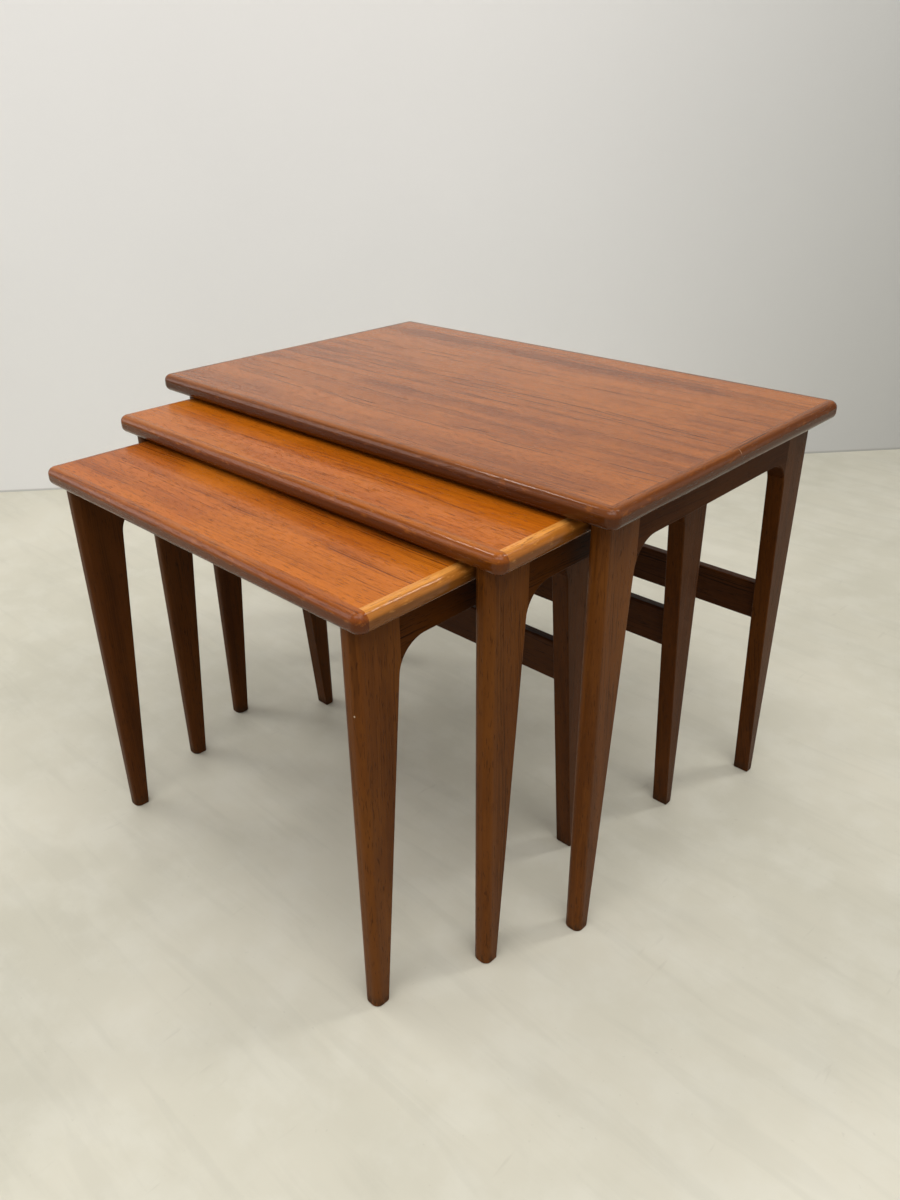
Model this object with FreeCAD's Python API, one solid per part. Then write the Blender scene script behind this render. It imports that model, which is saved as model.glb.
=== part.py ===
"""Nest of three teak side tables: a big, a medium and a small one that slide inside each other.

Frame: millimetres, +Z up, X along the long side of the tops, +Y towards the rear stretchers.
The inner tables slide out towards -Y.  The origin lies on the floor, in the middle of the
footprint of the three tables as they stand staggered.
"""
import FreeCAD
import Part
import math
import os
from collections import namedtuple

V = FreeCAD.Vector

# ---- driving dimensions: the big table ----
BIG_WIDTH = 604.0               # top, along X
BIG_DEPTH = 388.0               # top, along Y
BIG_HEIGHT = 448.0              # floor to the face of the top

# ---- the tops ----
TOP_THICKNESS = 18.0
VENEER_THICKNESS = 0.9          # face veneer and backing veneer
LIPPING_WIDTH = 10.0            # solid edge strips round the veneered core
EDGE_RADIUS = 7.0               # rounding of the lippings, above and below
CORNER_RADIUS = 9.0             # corners of the top, seen from above

# ---- the side frames ----
BIG_SIDE_OVERHANG = 18.0        # big top edge to the outer face of a side frame
SIDE_OVERHANG = 16.0            # the same on the medium and the small table
BIG_END_OVERHANG = 18.0         # big top edge to the front or back edge of a side frame
END_OVERHANG = 8.0              # the same on the medium and the small table
FRAME_THICKNESS = 18.0          # legs and rails, along X
RAIL_DEPTH = 32.0               # rail below the underside of the top
FOOT_WIDTH = 14.5               # leg along Y, at the floor
HEAD_WIDTH = 46.0               # leg along Y, where its taper meets the rail's lower edge
ARCH_RADIUS = 28.0              # curve between a leg and its rail
HAUNCH_START = 1.5              # the rail begins this far into the curve, so its tip is blunt
LEG_ROUNDING = 7.0              # outward edges of the legs
ARCH_EASING = 1.2               # edges round the arch
FOOT_EASING = 1.5               # edges under the feet

# ---- the rear stretchers ----
STRETCHER_HEIGHT = 42.0
STRETCHER_THICKNESS = 12.0
STRETCHER_BOTTOM = 206.0        # floor to its lower edge
STRETCHER_INSET = 11.0          # back of the rear legs to the back of the stretcher
STRETCHER_EASING = 2.5

# ---- how the tables nest ----
SIDE_CLEARANCE = 3.0            # between a top and the side frames around it, each side
HEAD_CLEARANCE = 3.5            # between a top and the underside above it
STOP_CLEARANCE = 5.0            # rear legs to the next stretcher, with the fronts flush
MEDIUM_PULL = 79.0              # medium front ahead of the big front, as they stand
SMALL_PULL = 101.0              # small front ahead of the medium front, as they stand
MEDIUM_SHIFT = -2.0             # the medium table stands this far off centre
SMALL_SHIFT = -2.5              # and the small one this far off the medium's centre

# ---- dowels and screws ----
RAIL_DOWEL_DIAMETER = 8.0
RAIL_DOWEL_LENGTH = 36.0
RAIL_DOWEL_SPACING = 14.0       # between the two dowels of a joint, along Z
STRETCHER_DOWEL_DIAMETER = 6.0
STRETCHER_DOWEL_LENGTH = 30.0
STRETCHER_DOWEL_IN_LEG = 11.0
STRETCHER_DOWEL_SPACING = 20.0
GLUE_LINE = 0.1                 # round a dowel or a screw
GLUE_POCKET = 1.0               # beyond each end of a dowel
SCREW_DIAMETER = 4.0
SCREW_LENGTH = 30.0
SCREW_IN_TOP = 12.0
SCREW_HEAD_DIAMETER = 8.0
SCREW_HEAD_HEIGHT = 3.0
SCREW_SLOT_WIDTH = 1.2
SCREW_SPACING = 140.0           # between the two screws of a rail, along Y
COUNTERBORE_DIAMETER = 10.0

Table = namedtuple("Table", "name width depth height x front side_overhang end_overhang")


# ---- the three tables ----

def next_size_down(name, outer, shift, pull):
    """The table that slides under another, standing pulled out of it."""
    frames = 2 * (outer.side_overhang + FRAME_THICKNESS)
    width = outer.width - frames - 2 * SIDE_CLEARANCE
    frame_depth = outer.depth - 2 * outer.end_overhang
    behind = STRETCHER_INSET + STRETCHER_THICKNESS + STOP_CLEARANCE
    depth = frame_depth - behind + 2 * END_OVERHANG
    height = outer.height - TOP_THICKNESS - HEAD_CLEARANCE
    return Table(name, width, depth, height, outer.x + shift, outer.front - pull, SIDE_OVERHANG, END_OVERHANG)


def make_tables():
    """Big, medium and small, with the middle of their joint footprint at the origin."""
    front = (MEDIUM_PULL + SMALL_PULL - BIG_DEPTH) / 2
    big = Table("big", BIG_WIDTH, BIG_DEPTH, BIG_HEIGHT, 0.0, front, BIG_SIDE_OVERHANG, BIG_END_OVERHANG)
    medium = next_size_down("medium", big, MEDIUM_SHIFT, MEDIUM_PULL)
    small = next_size_down("small", medium, SMALL_SHIFT, SMALL_PULL)
    return [big, medium, small]


def underside(table):
    """Height of the face that the side frames carry."""
    return table.height - TOP_THICKNESS


def rail_bottom(table):
    return underside(table) - RAIL_DEPTH


def frame_outer_x(table):
    return table.width / 2 - table.side_overhang


def frame_inner_x(table):
    return frame_outer_x(table) - FRAME_THICKNESS


# ---- small helpers; each table is drawn with its front edge at y = 0 ----

def box(x0, x1, y0, y1, z0, z1):
    return Part.makeBox(x1 - x0, y1 - y0, z1 - z0, V(x0, y0, z0))


def cylinder(radius, start, direction, length):
    return Part.makeCylinder(radius, length, start, direction)


def fillet_where(shape, radius, wanted):
    """Round every edge whose midpoint and direction pass the test."""
    chosen = []
    for edge in shape.Edges:
        middle = edge.valueAt((edge.FirstParameter + edge.LastParameter) / 2)
        along = edge.tangentAt((edge.FirstParameter + edge.LastParameter) / 2)
        if wanted(middle, along):
            chosen.append(edge)
    return shape.makeFillet(radius, chosen)


def near(a, b):
    return abs(a - b) < 0.01


def cut_all(shape, tools):
    for tool in tools:
        shape = shape.cut(tool)
    return shape


# ---- the top ----

def top_blank(table):
    """The whole top as one block, with rounded corners and edges."""
    half = table.width / 2
    low = underside(table)
    block = box(-half, half, 0, table.depth, low, table.height)
    block = fillet_where(block, CORNER_RADIUS, lambda middle, along: abs(along.z) > 0.9)
    on_a_face = lambda middle, along: near(middle.z, low) or near(middle.z, table.height)
    return fillet_where(block, EDGE_RADIUS, on_a_face)


def make_top(table):
    """Core, two veneers and four lippings; the front and rear strips run the full width."""
    half = table.width / 2
    inner_half = half - LIPPING_WIDTH
    rear = table.depth - LIPPING_WIDTH
    low = underside(table)
    high = table.height
    core_low = low + VENEER_THICKNESS
    core_high = high - VENEER_THICKNESS
    blank = top_blank(table)
    pieces = {
        "front_lipping": blank.common(box(-half, half, 0, LIPPING_WIDTH, low, high)),
        "rear_lipping": blank.common(box(-half, half, rear, table.depth, low, high)),
        "left_lipping": blank.common(box(-half, -inner_half, LIPPING_WIDTH, rear, low, high)),
        "right_lipping": blank.common(box(inner_half, half, LIPPING_WIDTH, rear, low, high)),
        "top_core": box(-inner_half, inner_half, LIPPING_WIDTH, rear, core_low, core_high),
        "top_veneer": box(-inner_half, inner_half, LIPPING_WIDTH, rear, core_high, high),
        "backing_veneer": box(-inner_half, inner_half, LIPPING_WIDTH, rear, low, core_low),
    }
    holes = screw_shapes(table, GLUE_LINE)
    for name in ("top_core", "backing_veneer"):
        pieces[name] = cut_all(pieces[name], holes)
    return pieces


# ---- the side frames ----

def arch_corner(table):
    """Points of the curve between the front leg and the rail: on the leg, middle, on the rail."""
    bottom = rail_bottom(table)
    taper = math.atan2(HEAD_WIDTH - FOOT_WIDTH, bottom)
    reach = ARCH_RADIUS * math.tan(math.pi / 4 - taper / 2)
    corner_y = table.end_overhang + HEAD_WIDTH
    centre = V(0, corner_y + reach, bottom - ARCH_RADIUS)
    half_way = 3 * math.pi / 4 - taper / 2
    on_leg = V(0, corner_y - reach * math.sin(taper), bottom - reach * math.cos(taper))
    middle = centre + V(0, math.cos(half_way), math.sin(half_way)) * ARCH_RADIUS
    on_rail = V(0, corner_y + reach, bottom)
    return on_leg, middle, on_rail


def joint_y(table):
    """Distance of the leg-to-rail joint from the front of the top."""
    return arch_corner(table)[0].y + HAUNCH_START


def frame_blank(table):
    """One side frame in one piece: two tapered legs and an arched rail, x from 0."""
    depth = table.depth
    high = underside(table)
    mirror = lambda point: V(point.x, depth - point.y, point.z)
    on_leg, middle, on_rail = arch_corner(table)
    front_foot = V(0, table.end_overhang, 0)
    front_heel = V(0, table.end_overhang + FOOT_WIDTH, 0)
    front_head = V(0, table.end_overhang, high)
    edges = [
        Part.LineSegment(front_foot, front_heel),
        Part.LineSegment(front_heel, on_leg),
        Part.Arc(on_leg, middle, on_rail),
        Part.LineSegment(on_rail, mirror(on_rail)),
        Part.Arc(mirror(on_rail), mirror(middle), mirror(on_leg)),
        Part.LineSegment(mirror(on_leg), mirror(front_heel)),
        Part.LineSegment(mirror(front_heel), mirror(front_foot)),
        Part.LineSegment(mirror(front_foot), mirror(front_head)),
        Part.LineSegment(mirror(front_head), front_head),
        Part.LineSegment(front_head, front_foot),
    ]
    outline = Part.Wire([edge.toShape() for edge in edges])
    blank = Part.Face(outline).extrude(V(FRAME_THICKNESS, 0, 0))
    return ease_frame(blank, table)


def ease_frame(blank, table):
    """Round the outward edges of the legs, then the arch, then the feet."""
    depth = table.depth
    high = underside(table)

    def outward(middle, along):
        at_end = near(middle.y, table.end_overhang) or near(middle.y, depth - table.end_overhang)
        return at_end and abs(along.z) > 0.9

    def round_the_arch(middle, along):
        on_side = near(middle.x, 0) or near(middle.x, FRAME_THICKNESS)
        inside = table.end_overhang + LEG_ROUNDING < middle.y < depth - table.end_overhang - LEG_ROUNDING
        return on_side and inside and abs(along.x) < 0.1 and FOOT_EASING < middle.z < high - 1

    def under_the_feet(middle, along):
        return near(middle.z, 0)

    blank = fillet_where(blank, LEG_ROUNDING, outward)
    blank = fillet_where(blank, ARCH_EASING, round_the_arch)
    return fillet_where(blank, FOOT_EASING, under_the_feet)


def make_frame(table, side):
    """Front leg, rail and rear leg of one side, drilled for their dowels and screws."""
    blank = frame_blank(table)
    start = frame_inner_x(table) if side == "right" else -frame_outer_x(table)
    blank.translate(V(start, 0, 0))
    depth = table.depth
    joint = joint_y(table)
    end = start + FRAME_THICKNESS
    high = underside(table)
    drills = dowel_shapes(table, GLUE_LINE, GLUE_POCKET)
    pieces = {
        side + "_front_leg": blank.common(box(start, end, 0, joint, 0, high)),
        side + "_rail": blank.common(box(start, end, joint, depth - joint, 0, high)),
        side + "_rear_leg": blank.common(box(start, end, depth - joint, depth, 0, high)),
    }
    pieces = {name: cut_all(shape, drills) for name, shape in pieces.items()}
    screws = screw_shapes(table, GLUE_LINE) + counterbores(table)
    pieces[side + "_rail"] = cut_all(pieces[side + "_rail"], screws)
    return pieces


# ---- the stretcher between the rear legs ----

def stretcher_middle_y(table):
    return table.depth - table.end_overhang - STRETCHER_INSET - STRETCHER_THICKNESS / 2


def make_stretcher(table):
    half = frame_inner_x(table)
    middle = stretcher_middle_y(table)
    near_y = middle - STRETCHER_THICKNESS / 2
    far_y = middle + STRETCHER_THICKNESS / 2
    top = STRETCHER_BOTTOM + STRETCHER_HEIGHT
    board = box(-half, half, near_y, far_y, STRETCHER_BOTTOM, top)
    board = fillet_where(board, STRETCHER_EASING, lambda middle, along: abs(along.x) > 0.9)
    return cut_all(board, dowel_shapes(table, GLUE_LINE, GLUE_POCKET))


# ---- dowels and screws, which also serve as their own drills ----

def dowel_shapes(table, grow=0.0, beyond=0.0):
    """All the dowels of a table; grow and beyond turn them into drills."""
    shapes = []
    rail_middle = underside(table) - RAIL_DEPTH / 2
    rail_length = RAIL_DOWEL_LENGTH + 2 * beyond
    stretcher_length = STRETCHER_DOWEL_LENGTH + 2 * beyond
    stretcher_z = STRETCHER_BOTTOM + STRETCHER_HEIGHT / 2
    for side in (-1, 1):
        x = side * (frame_outer_x(table) - FRAME_THICKNESS / 2)
        face = side * frame_inner_x(table)
        outer_end = face + side * (STRETCHER_DOWEL_IN_LEG + beyond)
        for step in (-0.5, 0.5):
            z = rail_middle + step * RAIL_DOWEL_SPACING
            for y in (joint_y(table), table.depth - joint_y(table)):
                start = V(x, y - rail_length / 2, z)
                shapes.append(cylinder(RAIL_DOWEL_DIAMETER / 2 + grow, start, V(0, 1, 0), rail_length))
            z = stretcher_z + step * STRETCHER_DOWEL_SPACING
            start = V(outer_end, stretcher_middle_y(table), z)
            radius = STRETCHER_DOWEL_DIAMETER / 2 + grow
            shapes.append(cylinder(radius, start, V(-side, 0, 0), stretcher_length))
    return shapes


def screw_places(table):
    """Where each screw's head sits, on the middle line of both rails."""
    x = frame_outer_x(table) - FRAME_THICKNESS / 2
    z = underside(table) + SCREW_IN_TOP - SCREW_LENGTH
    clear_run = table.depth - 2 * joint_y(table) - RAIL_DOWEL_LENGTH
    offset = min(SCREW_SPACING, clear_run - 2 * COUNTERBORE_DIAMETER) / 2
    return [V(side * x, table.depth / 2 + way * offset, z) for side in (-1, 1) for way in (-1, 1)]


def screw_shapes(table, grow=0.0):
    """Countersunk screws that hold the top down; grow turns them into drills."""
    shapes = []
    for place in screw_places(table):
        head_radius = SCREW_HEAD_DIAMETER / 2 + grow
        shank_radius = SCREW_DIAMETER / 2 + grow
        head = Part.makeCone(head_radius, shank_radius, SCREW_HEAD_HEIGHT, place)
        shank = cylinder(shank_radius, place, V(0, 0, 1), SCREW_LENGTH + grow)
        shapes.append(head.fuse(shank))
    return shapes


def counterbores(table):
    """Bores from below that let the screw heads into the rails."""
    bottom = rail_bottom(table)
    bores = []
    for place in screw_places(table):
        start = V(place.x, place.y, bottom)
        bores.append(cylinder(COUNTERBORE_DIAMETER / 2, start, V(0, 0, 1), place.z - bottom))
    return bores


def make_screws(table):
    """The screws with their driver slots."""
    screws = []
    reach = SCREW_HEAD_DIAMETER / 2
    half_slot = SCREW_SLOT_WIDTH / 2
    for place, shape in zip(screw_places(table), screw_shapes(table)):
        slot = box(-reach, reach, -half_slot, half_slot, 0, SCREW_SLOT_WIDTH)
        slot.translate(place)
        screws.append(shape.cut(slot))
    return screws


# ---- assembly ----

def make_table(table):
    """Every piece of one table, by name, where it stands in the nest."""
    pieces = make_top(table)
    pieces.update(make_frame(table, "left"))
    pieces.update(make_frame(table, "right"))
    pieces["rear_stretcher"] = make_stretcher(table)
    pieces["dowels"] = Part.makeCompound(dowel_shapes(table))
    pieces["top_screws"] = Part.makeCompound(make_screws(table))
    for shape in pieces.values():
        shape.translate(V(table.x, table.front, 0))
    return {table.name + "_" + name: shape for name, shape in pieces.items()}


def main():
    os.makedirs("parts", exist_ok=True)
    for table in make_tables():
        for node, shape in make_table(table).items():
            shape.exportStep(os.path.join("parts", node + ".step"))


main()
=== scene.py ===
import math

import bmesh
import bpy
from mathutils import Matrix, Vector


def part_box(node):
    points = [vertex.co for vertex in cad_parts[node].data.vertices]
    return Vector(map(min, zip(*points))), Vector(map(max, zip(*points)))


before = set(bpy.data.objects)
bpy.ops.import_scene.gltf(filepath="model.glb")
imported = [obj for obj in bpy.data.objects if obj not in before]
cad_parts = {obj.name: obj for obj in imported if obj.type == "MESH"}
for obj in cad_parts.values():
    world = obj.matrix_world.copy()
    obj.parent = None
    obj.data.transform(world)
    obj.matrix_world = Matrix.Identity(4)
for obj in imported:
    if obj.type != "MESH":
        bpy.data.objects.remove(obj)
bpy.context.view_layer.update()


# ---- shader benches: expressions that write nodes ----

class Wire:
    """A value on its way through a material; sums with it add Math nodes."""

    def __init__(self, bench, socket):
        self.bench = bench
        self.socket = socket

    def _sum(self, operation, first, second):
        return self.bench.node("ShaderNodeMath", {"operation": operation}, {0: first, 1: second})

    def __add__(self, other):
        return self._sum("ADD", self, other)

    __radd__ = __add__

    def __sub__(self, other):
        return self._sum("SUBTRACT", self, other)

    def __rsub__(self, other):
        return self._sum("SUBTRACT", other, self)

    def __mul__(self, other):
        return self._sum("MULTIPLY", self, other)

    __rmul__ = __mul__


class Bench:
    """One material or world and the nodes that go into it."""

    def __init__(self, name, shelf=None):
        self.material = (bpy.data.materials if shelf is None else shelf).new(name)
        self.material.use_nodes = True
        self.tree = self.material.node_tree
        self.tree.nodes.clear()

    def node(self, kind, settings=None, inputs=None, output=0):
        node = self.tree.nodes.new(kind)
        for key, value in (settings or {}).items():
            setattr(node, key, value)
        for key, value in (inputs or {}).items():
            if isinstance(value, Wire):
                self.tree.links.new(value.socket, node.inputs[key])
            else:
                node.inputs[key].default_value = value
        return Wire(self, node.outputs[output]) if node.outputs else node

    def own_place(self):
        return self.node("ShaderNodeTexCoord", output="Object")

    def blend(self, factor, first, second):
        """Colour first, turned into second as factor goes from 0 to 1."""
        inputs = {0: factor, 6: rgba(first), 7: rgba(second)}
        return self.node("ShaderNodeMix", {"data_type": "RGBA"}, inputs, 2)

    def stretch(self, place, by):
        return self.node("ShaderNodeVectorMath", {"operation": "MULTIPLY"}, {0: place, 1: by})

    def noise(self, place, scale=1.0, detail=2.0, rough=0.5, twist=0.0):
        inputs = {"Vector": place, "Scale": scale, "Detail": detail, "Roughness": rough, "Distortion": twist}
        return self.node("ShaderNodeTexNoise", {"noise_dimensions": "3D"}, inputs)

    def rings(self, way, scale, detail=2.0, rough=0.5):
        inputs = {"W": way, "Scale": scale, "Detail": detail, "Roughness": rough}
        return self.node("ShaderNodeTexNoise", {"noise_dimensions": "1D"}, inputs)

    def rise(self, value, low, high):
        """0 below low, 1 above high, and smooth between them; high may be the lower one."""
        inputs = {"Value": value, "From Min": low, "From Max": high}
        return self.node("ShaderNodeMapRange", {"interpolation_type": "SMOOTHSTEP"}, inputs)

    def split(self, place):
        node = self.node("ShaderNodeSeparateXYZ", inputs={0: place}).socket.node
        return [Wire(self, socket) for socket in node.outputs]

    def spot(self, place, centre, radii):
        """1 inside a small ellipsoid, 0 outside."""
        offset = self.node("ShaderNodeVectorMath", {"operation": "SUBTRACT"}, {0: place, 1: centre})
        scaled = self.stretch(offset, tuple(1 / r for r in radii))
        far = self.node("ShaderNodeVectorMath", {"operation": "LENGTH"}, {0: scaled}, "Value")
        return self.rise(far, 1.1, 0.7)

    def dents(self, height, distance):
        return self.node("ShaderNodeBump", inputs={"Height": height, "Distance": distance, "Strength": 1.0})

    def surface(self, inputs):
        """A Principled surface on the output; numbers are set on its own sockets."""
        shader = self.node("ShaderNodeBsdfPrincipled", inputs=inputs)
        self.node("ShaderNodeOutputMaterial", inputs={"Surface": shader})
        return self.material


def rgba(colour):
    return colour if isinstance(colour, Wire) else (*colour, 1.0)


# ---- teak ----

ALONG = {
    "x": (0.0, 0.0, 0.0),
    "y": (0.0, 0.0, -math.pi / 2),
    "z": (0.0, math.pi / 2, 0.0),
}

TONES = {
    # light wood, dark wood, glow between them
    "brown_top": ((0.345, 0.096, 0.010), (0.180, 0.044, 0.005), (0.400, 0.118, 0.013)),
    "orange_top": ((0.450, 0.112, 0.005), (0.245, 0.052, 0.003), (0.530, 0.158, 0.009)),
    "red_top": ((0.425, 0.106, 0.008), (0.220, 0.046, 0.004), (0.520, 0.150, 0.011)),
    "brown_edge": ((0.230, 0.062, 0.007), (0.100, 0.025, 0.004), (0.300, 0.090, 0.011)),
    "orange_edge": ((0.370, 0.100, 0.007), (0.190, 0.044, 0.003), (0.460, 0.150, 0.014)),
    "red_edge": ((0.340, 0.086, 0.007), (0.180, 0.039, 0.003), (0.430, 0.128, 0.013)),
    # gold: paler wood under a painted sheen, lighter where the flat of the edge catches the light
    "gold_and_sheen_edge": ((0.640, 0.250, 0.045), (0.430, 0.140, 0.018), (0.720, 0.330, 0.075)),
    "leg": ((0.135, 0.041, 0.006), (0.066, 0.019, 0.003), (0.165, 0.054, 0.008)),
    # painted shade: a darker copy of the leg teak for legs that stand in shade
    "shaded_leg": ((0.078, 0.022, 0.003), (0.036, 0.010, 0.0015), (0.098, 0.030, 0.004)),
    # painted shade: the leg teak darkened further for the rails, in shade under the top
    "rail": ((0.062, 0.017, 0.0025), (0.030, 0.008, 0.0012), (0.080, 0.024, 0.0035)),
    # painted shade: the leg teak darkened for the rear stretcher, in shade under the top
    "stretcher": ((0.056, 0.016, 0.003), (0.027, 0.008, 0.002), (0.074, 0.023, 0.004)),
}


FILM_RELIEF = 0.00012        # how deep the pores and lines are, in metres
# painted shade: on gold edges the rounded shoulder falls from the painted sheen of the flat to this orange-brown
SHOULDER_TONES = {"gold_and_sheen_edge": (0.300, 0.088, 0.008)}


def teak(name, tone, along, shift, band=30.0, contrast=0.5, slant=0.5, gloss=0.24, sheen=0.5,
         figure=0.95, shoulder=None, foot=False, nicks=()):
    """Oiled teak: soft growth bands, clusters of fine dark lines, short pores and a satin film."""
    light, dark, glow = TONES[tone]
    bench = Bench(name)
    own = bench.own_place()
    board = bench.node("ShaderNodeMapping", inputs={
        "Vector": own, "Rotation": ALONG[along], "Location": shift})
    length, across, through = bench.split(board)

    # the growth rings wander slowly along the board
    wander = bench.noise(bench.stretch(board, (2.4, 8.0, 8.0)), detail=1.5) - 0.5
    ripple = bench.noise(bench.stretch(board, (17.0, 34.0, 34.0)), detail=1.5) - 0.5
    growth = across + slant * through + 0.034 * wander + 0.0040 * ripple
    broad = bench.rings(growth, band, 2.0)
    lines = bench.rings(growth, 560.0, 2.0, 0.6)
    cluster = bench.rise(bench.rings(growth + 7.0, 0.9 * band, 1.0), 0.42, 0.62)
    broken = bench.rise(bench.noise(bench.stretch(board, (16.0, 130.0, 130.0)), detail=1.0), 0.40, 0.58)
    fibre = bench.noise(bench.stretch(board, (11.0, 620.0, 620.0)), detail=2.0, rough=0.6)
    cloud = bench.noise(bench.stretch(board, (6.0, 10.0, 10.0)), detail=2.0)
    fleck = bench.noise(bench.stretch(board, (60.0, 240.0, 240.0)), detail=1.5)
    pores = bench.rise(bench.noise(bench.stretch(board, (95.0, 1150.0, 1150.0)), detail=1.0), 0.60, 0.72)

    dusk = bench.rise(0.56 * broad + 0.44 * fibre, 0.38, 0.64)
    wood = bench.blend(contrast * dusk, light, dark)
    wood = bench.blend(0.60 * bench.rise(cloud, 0.40, 0.68), wood, glow)
    thin = bench.rise(lines, 0.49, 0.60) * broken * (0.30 + 0.70 * cluster)
    wood = bench.blend(figure * thin, wood, tuple(0.55 * part for part in dark))
    hairline = bench.rise(bench.rings(growth + 3.0, 240.0, 1.0), 0.66, 0.78)
    wood = bench.blend(0.40 * hairline * broken, wood, glow)
    wood = bench.blend(0.22 * bench.rise(fleck, 0.52, 0.72), wood, glow)
    wood = bench.blend(0.62 * pores, wood, tuple(0.35 * part for part in dark))

    rough = gloss + 0.08 * (cloud - 0.5) + 0.14 * pores + 0.05 * dusk
    height = 0.30 * fibre - 0.8 * pores - 0.3 * thin
    if shoulder is not None:
        # the rounded edge is rubbed by hand: uneven, with golden fleck where the film has gone; painted shade darkens
        # the rounded shoulder and the upright side below it
        _, _, high = bench.split(own)
        above = bench.rise(high, shoulder - 0.0110, shoulder - 0.0060)
        edge = above * bench.rise(high, shoulder + 0.0002, shoulder - 0.0018)
        rub = bench.noise(bench.stretch(board, (70.0, 260.0, 260.0)), detail=3.0, rough=0.65)
        # painted shade: the rounded shoulder turns darker as it falls away from the top
        turned = bench.rise(high, shoulder - 0.0002, shoulder - 0.0020)
        wood = bench.blend(0.70 * turned, wood, SHOULDER_TONES.get(tone, dark))
        worn = edge * bench.rise(rub, 0.56, 0.70)
        # painted shade: the upright side of the lipping, which the light from above misses, is darkened further
        upright = bench.rise(high, shoulder - 0.0045, shoulder - 0.0080)
        side_shade = tuple(0.40 * part for part in TONES["brown_edge"][1])
        wood = bench.blend(0.62 * upright, wood, side_shade)
        wood = bench.blend(0.28 * worn, wood, tuple(1.3 * part for part in glow))
        rough = rough + 0.05 * worn
        height = height + 0.8 * bench.noise(bench.stretch(board, (48.0, 60.0, 60.0)), detail=2.0)
    if foot:
        _, _, high = bench.split(own)
        low = bench.rise(high, 0.016, 0.002)
        grit = bench.noise(bench.stretch(own, (240.0, 240.0, 120.0)), detail=3.0)
        scuff = low * bench.rise(grit, 0.38, 0.60)
        wood = bench.blend(0.65 * scuff, wood, (0.030, 0.018, 0.010))
        rough = rough + 0.25 * scuff
    for centre, radii, colour in nicks:
        chip = bench.spot(own, centre, radii)
        wood = bench.blend(0.85 * chip, wood, colour)
        rough = rough + 0.2 * chip
        height = height - 3.0 * chip
    normal = bench.dents(height, FILM_RELIEF)
    return bench.surface({
        "Base Color": wood, "Roughness": rough, "Normal": normal,
        "IOR": 1.45, "Specular IOR Level": sheen,
    })


# ---- the other stuffs ----

def core_board():
    """Blockboard end: pale glued strips with coarse fibre."""
    bench = Bench("core_board_strips")
    own = bench.own_place()
    _, across, high = bench.split(own)
    strip = bench.rings(across, 42.0, 0.0)
    grain = bench.noise(bench.stretch(own, (25.0, 420.0, 420.0)), detail=3.0)
    wood = bench.blend(bench.rise(strip, 0.35, 0.65), (0.42, 0.27, 0.13), (0.52, 0.36, 0.19))
    wood = bench.blend(0.4 * grain, wood, (0.27, 0.15, 0.06))
    return bench.surface({"Base Color": wood, "Roughness": 0.55 + 0.2 * grain, "Normal": bench.dents(grain, 0.0002)})


def beech():
    bench = Bench("beech_dowel_flecked")
    own = bench.own_place()
    fleck = bench.noise(bench.stretch(own, (500.0, 90.0, 500.0)), detail=2.0)
    wood = bench.blend(bench.rise(fleck, 0.45, 0.70), (0.55, 0.36, 0.19), (0.38, 0.21, 0.09))
    return bench.surface({"Base Color": wood, "Roughness": 0.5 + 0.2 * fleck, "Normal": bench.dents(fleck, 0.0001)})


def steel():
    bench = Bench("dull_zinc_steel")
    own = bench.own_place()
    tarnish = bench.noise(own, 700.0, 4.0, 0.6)
    metal = bench.blend(bench.rise(tarnish, 0.40, 0.65), (0.52, 0.51, 0.48), (0.27, 0.24, 0.19))
    return bench.surface({
        "Base Color": metal, "Metallic": 1.0, "Roughness": 0.30 + 0.35 * tarnish,
        "Normal": bench.dents(tarnish, 0.00006),
    })


# ---- finishes on the pieces ----

def dress(node, material):
    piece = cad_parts[node]
    for slot in piece.material_slots:
        slot.material = material


CORE, BEECH, STEEL = core_board(), beech(), steel()
TOP_TONE = {"big": "brown_top", "medium": "orange_top", "small": "red_top"}
EDGE_TONE = {"big": "brown_edge", "medium": "orange_edge", "small": "red_edge"}
# the medium and small right lippings take the gold tone: paler wood plus a painted sheen on the lit flat
SIDE_TONE = {"big": "brown_edge", "medium": "gold_and_sheen_edge", "small": "gold_and_sheen_edge"}
CHIPS = {
    "big_right_lipping": [
        ((0.3020, 0.1055, 0.4470), (0.0016, 0.0012, 0.0016), (0.75, 0.60, 0.45)),
        ((0.3010, 0.0849, 0.4460), (0.0040, 0.0005, 0.0030), (0.45, 0.24, 0.12)),
    ],
    "small_right_front_leg": [
        ((0.2010, -0.2762, 0.3112), (0.0010, 0.0010, 0.0012), (0.72, 0.58, 0.40)),
    ],
}

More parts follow.
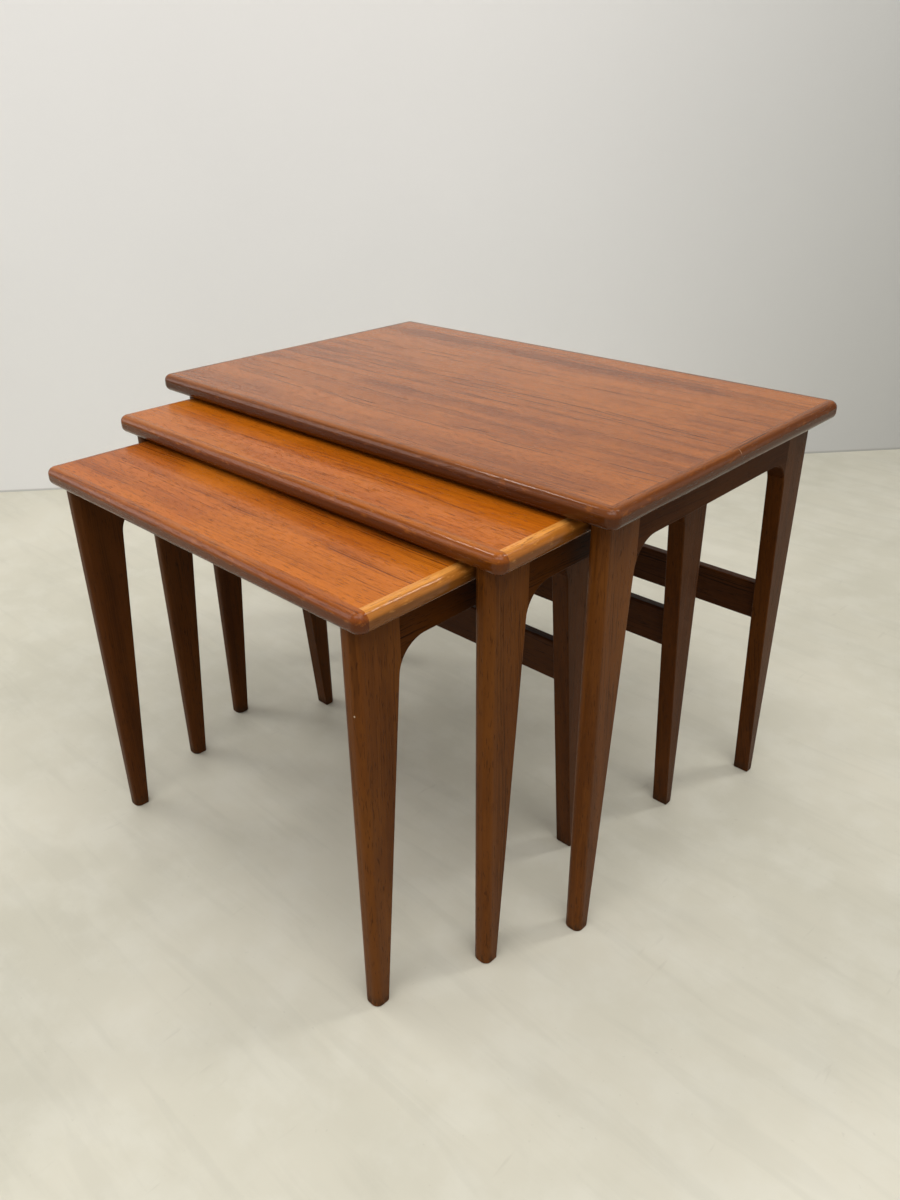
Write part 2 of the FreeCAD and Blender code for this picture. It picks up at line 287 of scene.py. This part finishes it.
for number, table in enumerate(("big", "medium", "small")):
    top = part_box(f"{table}_top_veneer")[1].z
    step = 1.7 * number
    dress(f"{table}_top_veneer", teak(
        f"{table}_top_figured_teak", TOP_TONE[table], "x", (step, 0.31 * number, 0.0),
        contrast=0.90 if table == "big" else 0.70,
        gloss=0.18 if table == "big" else 0.13, sheen=0.30 if table == "big" else 0.14))
    dress(f"{table}_backing_veneer", teak(
        f"{table}_backing_teak", "leg", "x", (4.0 + step, 0.5, 0.0), gloss=0.45, sheen=0.25))
    for place, way, tone, turn in (
        ("front", "x", EDGE_TONE[table], 0.9), ("rear", "x", EDGE_TONE[table], 2.1),
        ("left", "y", EDGE_TONE[table], 3.3), ("right", "y", SIDE_TONE[table], 4.7),
    ):
        node = f"{table}_{place}_lipping"
        dress(node, teak(
            f"{table}_{place}_edge_teak", tone, way, (turn + step, turn, 0.0), band=70.0,
            gloss=0.12, sheen=0.25, figure=0.7, shoulder=top, nicks=CHIPS.get(node, ())))
    for place in ("left_front", "right_front", "left_rear", "right_rear"):
        node = f"{table}_{place}_leg"
        turn = 5.0 + step + 0.37 * len(place) + (0.6 if "rear" in place else 0.0)
        # painted shade: every leg but the front right one takes the darker shaded copy
        tone = "leg" if place == "right_front" else "shaded_leg"
        dress(node, teak(
            f"{table}_{place}_leg_teak", tone, "z", (turn, turn / 3, 0.0), band=48.0, slant=0.8,
            contrast=0.60, gloss=0.32, sheen=0.08, figure=0.55, foot=True, nicks=CHIPS.get(node, ())))
    for place in ("left", "right"):
        turn = 8.0 + step + (0.5 if place == "left" else 0.0)
        # painted shade: rails take the darker rail copy of the teak
        dress(f"{table}_{place}_rail", teak(
            f"{table}_{place}_rail_teak", "rail", "y", (turn, turn / 3, 0.0), slant=0.9, gloss=0.34, sheen=0.03))
    # painted shade: the stretcher takes the darker stretcher copy of the teak
    dress(f"{table}_rear_stretcher", teak(
        f"{table}_stretcher_teak", "stretcher", "x", (11.0 + step, 0.7 * step, 0.0), slant=0.9, gloss=0.32, sheen=0.08))
    dress(f"{table}_top_core", CORE)
    dress(f"{table}_dowels", BEECH)
    dress(f"{table}_top_screws", STEEL)


# ---- floor and wall ----

WALL_TURN = math.atan2(0.7609, 0.6489)      # the wall runs this way, seen from above
WALL_DISTANCE = 1.037
ROOM_HALF = 6.0
WALL_HEIGHT = 3.2


def seen_from_front(bench, shader):
    """The surface from its front; from behind it lets everything through."""
    clear = bench.node("ShaderNodeBsdfTransparent")
    back = bench.node("ShaderNodeNewGeometry", output="Backfacing")
    both = bench.node("ShaderNodeMixShader", inputs={0: back, 1: shader, 2: clear})
    bench.node("ShaderNodeOutputMaterial", inputs={"Surface": both})
    return bench.material


def painted_floor():
    bench = Bench("painted_concrete")
    own = bench.own_place()
    patch = bench.noise(own, 2.3, 4.0, 0.55)
    mottle = bench.noise(own, 17.0, 5.0, 0.6)
    trowel = bench.noise(bench.stretch(own, (5.0, 38.0, 5.0)), 1.0, 4.0, 0.6, 0.6)
    specks = bench.rise(bench.noise(own, 160.0, 2.0, 0.5), 0.70, 0.76)
    scuffs = bench.rise(bench.noise(bench.stretch(own, (60.0, 9.0, 1.0)), 1.0, 3.0, 0.7), 0.66, 0.74)
    colour = bench.blend(bench.rise(patch, 0.32, 0.68), (0.560, 0.535, 0.435), (0.655, 0.622, 0.515))
    colour = bench.blend(0.30 * bench.rise(mottle, 0.42, 0.66), colour, (0.70, 0.68, 0.59))
    colour = bench.blend(0.16 * bench.rise(trowel, 0.48, 0.66), colour, (0.46, 0.44, 0.36))
    colour = bench.blend(0.10 * specks + 0.10 * scuffs, colour, (0.25, 0.22, 0.17))
    height = 0.6 * mottle + 0.4 * trowel
    shader = bench.node("ShaderNodeBsdfPrincipled", inputs={
        "Base Color": colour, "Roughness": 0.52 + 0.18 * (mottle - 0.5), "Normal": bench.dents(height, 0.0006),
    })
    return seen_from_front(bench, shader)


def painted_wall():
    bench = Bench("off_white_wall")
    own = bench.own_place()
    turned = bench.node("ShaderNodeMapping", inputs={"Vector": own, "Rotation": (0.0, 0.0, -WALL_TURN)})
    sideways, _, high = bench.split(turned)
    roller = bench.noise(own, 40.0, 4.0, 0.6)
    patch = bench.noise(own, 1.4, 2.0, 0.5)
    # painted shade: the wall darkens from left to right, as the light falls off across it
    colour = bench.blend(bench.rise(sideways, 0.05, 1.35), (0.860, 0.850, 0.840), (0.540, 0.538, 0.520))
    colour = bench.blend(0.10 * bench.rise(patch, 0.40, 0.65), colour, (0.68, 0.68, 0.66))
    # painted shadow: a thin dark line along the foot of the wall, where it meets the floor
    colour = bench.blend(0.5 * bench.rise(high, 0.006, 0.002), colour, (0.30, 0.29, 0.26))
    shader = bench.node("ShaderNodeBsdfPrincipled", inputs={
        "Base Color": colour, "Roughness": 0.75, "Normal": bench.dents(roller, 0.0004),
    })
    return seen_from_front(bench, shader)


def sheet(name, turns, material):
    """A flat square sheet, moved into place by the matrices in turn."""
    work = bmesh.new()
    bmesh.ops.create_grid(work, x_segments=1, y_segments=1, size=1.0)
    for turn in turns:
        bmesh.ops.transform(work, matrix=turn, verts=work.verts)
    mesh = bpy.data.meshes.new(name)
    work.to_mesh(mesh)
    work.free()
    piece = bpy.data.objects.new(name, mesh)
    bpy.context.scene.collection.objects.link(piece)
    mesh.materials.append(material)


face_wall = Matrix.Rotation(WALL_TURN, 4, "Z")
sheet("floor", [
    Matrix.Diagonal((ROOM_HALF, ROOM_HALF, 1.0, 1.0)),
    Matrix.Translation((0.0, WALL_DISTANCE - ROOM_HALF, 0.0)),
    face_wall,
], painted_floor())
sheet("wall", [
    Matrix.Diagonal((ROOM_HALF, WALL_HEIGHT / 2, 1.0, 1.0)),
    Matrix.Rotation(math.pi / 2, 4, "X"),
    Matrix.Translation((0.0, WALL_DISTANCE, WALL_HEIGHT / 2)),
    face_wall,
], painted_wall())


# ---- light ----

AMBIENT = 0.20
LAMPS = (
    # name, place, aimed at, width, depth, watts, colour
    ("overhead_right", (1.2, -0.4, 2.4), (0.6, -0.2, 0.0), 1.2, 3.0, 32.5, (1.0, 0.99, 0.97)),
    ("overhead_front", (0.7, -1.6, 2.4), (0.3, -0.8, 0.0), 2.2, 1.1, 28.0, (1.0, 0.99, 0.97)),
    ("left_window", (-1.9, -1.7, 1.2), (0.0, 0.0, 0.2), 1.4, 1.4, 13.5, (0.98, 0.99, 1.0)),
    ("overhead_back", (1.0, 1.35, 2.4), (0.4, 0.2, 0.3), 0.35, 0.7, 14.0, (1.0, 0.99, 0.97)),
    ("overhead_left", (-1.2, -0.45, 2.4), (0.0, -0.1, 0.0), 0.35, 0.35, 7.0, (1.0, 0.99, 0.97)),
)


def world_light():
    bench = Bench("room_light", bpy.data.worlds)
    bpy.context.scene.world = bench.material
    rays = bench.node("ShaderNodeLightPath").socket.node
    kinds = ("Is Camera Ray", "Is Glossy Ray", "Is Transmission Ray")
    seen, glossy, through = (Wire(bench, rays.outputs[kind]) for kind in kinds)
    shown = bench.rise(seen + glossy + through, 0.0, 1.0)
    ambient = bench.node("ShaderNodeBackground", inputs={"Color": (0.97, 0.98, 1.0, 1.0), "Strength": AMBIENT})
    pale = bench.node("ShaderNodeBackground", inputs={"Color": (0.72, 0.72, 0.70, 1.0), "Strength": 1.0})
    both = bench.node("ShaderNodeMixShader", inputs={0: shown, 1: ambient, 2: pale})
    bench.node("ShaderNodeOutputWorld", inputs={"Surface": both})


def soft_lamp(name, place, aim, width, depth, power, colour):
    data = bpy.data.lights.new(name, "AREA")
    data.shape = "RECTANGLE"
    data.size, data.size_y = width, depth
    data.energy = power
    data.color = colour
    lamp = bpy.data.objects.new(name, data)
    lamp.location = place
    lamp.rotation_mode = "QUATERNION"
    lamp.rotation_quaternion = (Vector(aim) - Vector(place)).to_track_quat("-Z", "Y")
    lamp.visible_camera = False
    bpy.context.scene.collection.objects.link(lamp)


world_light()
for lamp in LAMPS:
    soft_lamp(*lamp)


# ---- camera ----

LENS = 28.4103                      # millimetres, over a 36 mm long side
STANDPOINT = (0.6506, -0.6456, 0.7108)
HEADING, DIP, TILT = 43.5175, 27.6856, -0.6695      # degrees

camera_data = bpy.data.cameras.new("camera")
camera_data.lens = LENS
camera_data.sensor_width = 36.0
camera_data.clip_start = 0.02
camera_data.clip_end = 60.0
camera = bpy.data.objects.new("camera", camera_data)
bpy.context.scene.collection.objects.link(camera)
camera.matrix_world = (
    Matrix.Translation(STANDPOINT)
    @ Matrix.Rotation(math.radians(HEADING), 4, "Z")
    @ Matrix.Rotation(math.radians(90.0 - DIP), 4, "X")
    @ Matrix.Rotation(math.radians(TILT), 4, "Z")
)
bpy.context.scene.camera = camera
bpy.context.scene.view_settings.view_transform = "Standard"
